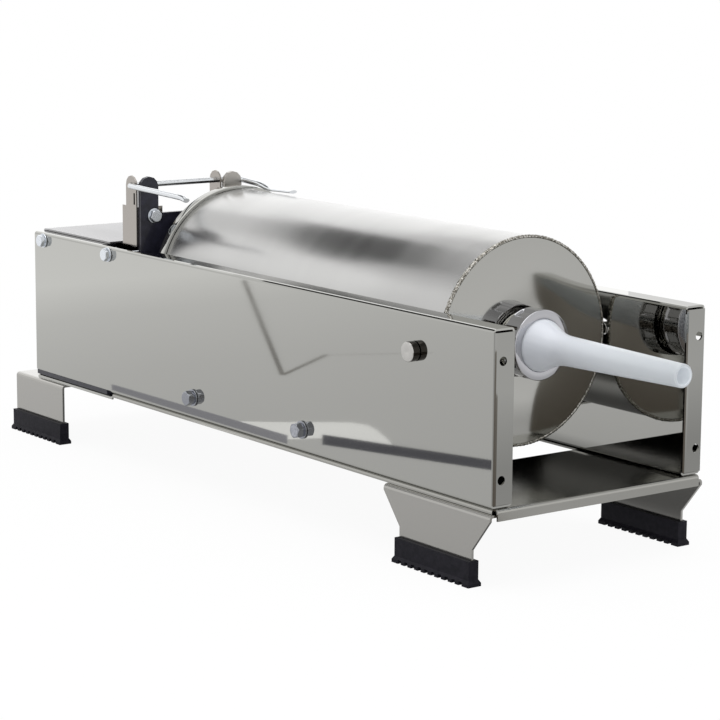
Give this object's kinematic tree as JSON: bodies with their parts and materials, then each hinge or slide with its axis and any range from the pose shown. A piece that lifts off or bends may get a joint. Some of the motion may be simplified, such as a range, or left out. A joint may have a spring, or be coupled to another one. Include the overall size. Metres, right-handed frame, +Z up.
{
  "type": "sausage stuffer",
  "caption": "Horizontal crank-driven sausage stuffer: steel cylinder between folded side panels, rack piston, wire latch, ring nut with plastic nozzle, rubber-shod legs.",
  "frame": {"origin": "on the table, under the centre of the bounding box", "axes": "+X along the cylinder towards the spout, +Y towards the crank's side, +Z up"},
  "size_m": [0.7822, 0.3062, 0.253],
  "materials": {
    "polished_stainless": "mirror-polished stainless steel",
    "satin_stainless": "fine satin stainless steel",
    "weld_bead": "ground weld with brown heat tint",
    "chrome_plate": "bright chrome plate",
    "zinc_plated_steel": "bright zinc plate",
    "black_steel": "black paint on steel plate",
    "gear_steel": "machined steel with light grease",
    "bronze": "sintered bronze",
    "black_rubber": "matt black rubber",
    "white_plastic": "translucent white polyethylene",
    "seal_rubber": "food-grade pale rubber",
    "black_plastic": "black moulded plastic"
  },
  "bodies": {
    "stand": {"side_panel_near": "polished_stainless", "side_panel_far": "polished_stainless", "base_tray": "polished_stainless", "gearbox_base_plate": "black_steel", "rear_base_skirt": "polished_stainless", "front_leg_bracket": "polished_stainless", "rear_leg_bracket": "polished_stainless", "foot_front_near": "black_rubber", "foot_front_far": "black_rubber", "foot_rear_near": "black_rubber", "foot_rear_far": "black_rubber", "gearbox_front_plate": "black_steel", "gearbox_cheek_near": "black_steel", "gearbox_cheek_far": "black_steel", "side_angle_near": "zinc_plated_steel", "side_angle_far": "zinc_plated_steel", "cheek_spacer_front": "zinc_plated_steel", "cheek_spacer_rear": "zinc_plated_steel", "rack_guide_front": "white_plastic", "rack_guide_rear": "white_plastic", "pinion_shaft_bush": "bronze", "crank_shaft_bush": "bronze", "rear_cover": "satin_stainless", "latch_bracket_near": "polished_stainless", "latch_bracket_far": "polished_stainless", "cylinder_tube": "satin_stainless", "cylinder_front_disc": "polished_stainless", "disc_weld_bead": "weld_bead", "cylinder_rim_band": "chrome_plate", "trunnion_pin_near": "satin_stainless", "trunnion_pin_far": "satin_stainless", "spout_neck": "satin_stainless", "cylinder_cradle": "satin_stainless", "cover_bolt_near": "zinc_plated_steel", "cover_bolt_far": "zinc_plated_steel", "angle_bolt_near": "zinc_plated_steel", "angle_bolt_far": "zinc_plated_steel", "cradle_bolt_rear_near": "zinc_plated_steel", "cradle_bolt_rear_far": "zinc_plated_steel", "cradle_bolt_front_near": "zinc_plated_steel", "cradle_bolt_front_far": "zinc_plated_steel", "latch_bolt_near": "zinc_plated_steel", "latch_bolt_far": "zinc_plated_steel", "spout_washer": "seal_rubber"},
    "piston": {"piston_front_plate": "satin_stainless", "piston_seal": "seal_rubber", "piston_back_plate": "satin_stainless", "piston_rack": "gear_steel", "piston_bolt": "chrome_plate", "air_valve": "chrome_plate"},
    "rack_drive": {"pinion_shaft": "gear_steel", "reduction_gear": "gear_steel"},
    "crank": {"crank_shaft": "gear_steel", "crank_arm": "zinc_plated_steel", "crank_bolt": "zinc_plated_steel", "grip_spindle": "zinc_plated_steel"},
    "grip": {"crank_grip": "black_plastic"},
    "latch": {"latch_bail": "chrome_plate"},
    "nozzle": {"stuffing_nozzle": "white_plastic"},
    "nut": {"ring_nut": "chrome_plate"}
  },
  "joints": [
    {"name": "piston_slide", "type": "slide", "parent": "stand", "child": "piston", "axis": [-1, 0, 0], "range_m": [0, 0.391]},
    {"name": "pinion_turn", "type": "hinge", "parent": "stand", "child": "rack_drive", "pos_m": [-0.25195, -0.0438, 0.13465], "axis": [0, 1, 0], "range_deg": [-1282, 1]},
    {"name": "crank_turn", "type": "hinge", "parent": "stand", "child": "crank", "pos_m": [-0.30795, -0.0438, 0.13465], "axis": [0, 1, 0], "range_deg": [-2, 3843]},
    {"name": "grip_spin", "type": "hinge", "parent": "crank", "child": "grip", "pos_m": [-0.30795, 0.1138, 0.02965], "axis": [0, 1, 0], "continuous": true},
    {"name": "latch_swing", "type": "hinge", "parent": "stand", "child": "latch", "pos_m": [-0.20395, -0.0788, 0.2445], "axis": [0, -1, 0], "range_deg": [0, 110]},
    {"name": "nozzle_pull", "type": "slide", "parent": "stand", "child": "nozzle", "axis": [1, 0, 0], "range_m": [0, 0.1]},
    {"name": "nut_spin", "type": "hinge", "parent": "nozzle", "child": "nut", "pos_m": [0.23205, -0.0438, 0.15915], "axis": [1, 0, 0], "continuous": true}
  ],
  "couplings": [
    {"joint": "pinion_turn", "follows": "piston_slide", "rad_per_m": -57.143},
    {"joint": "crank_turn", "follows": "piston_slide", "rad_per_m": 171.43}
  ]
}
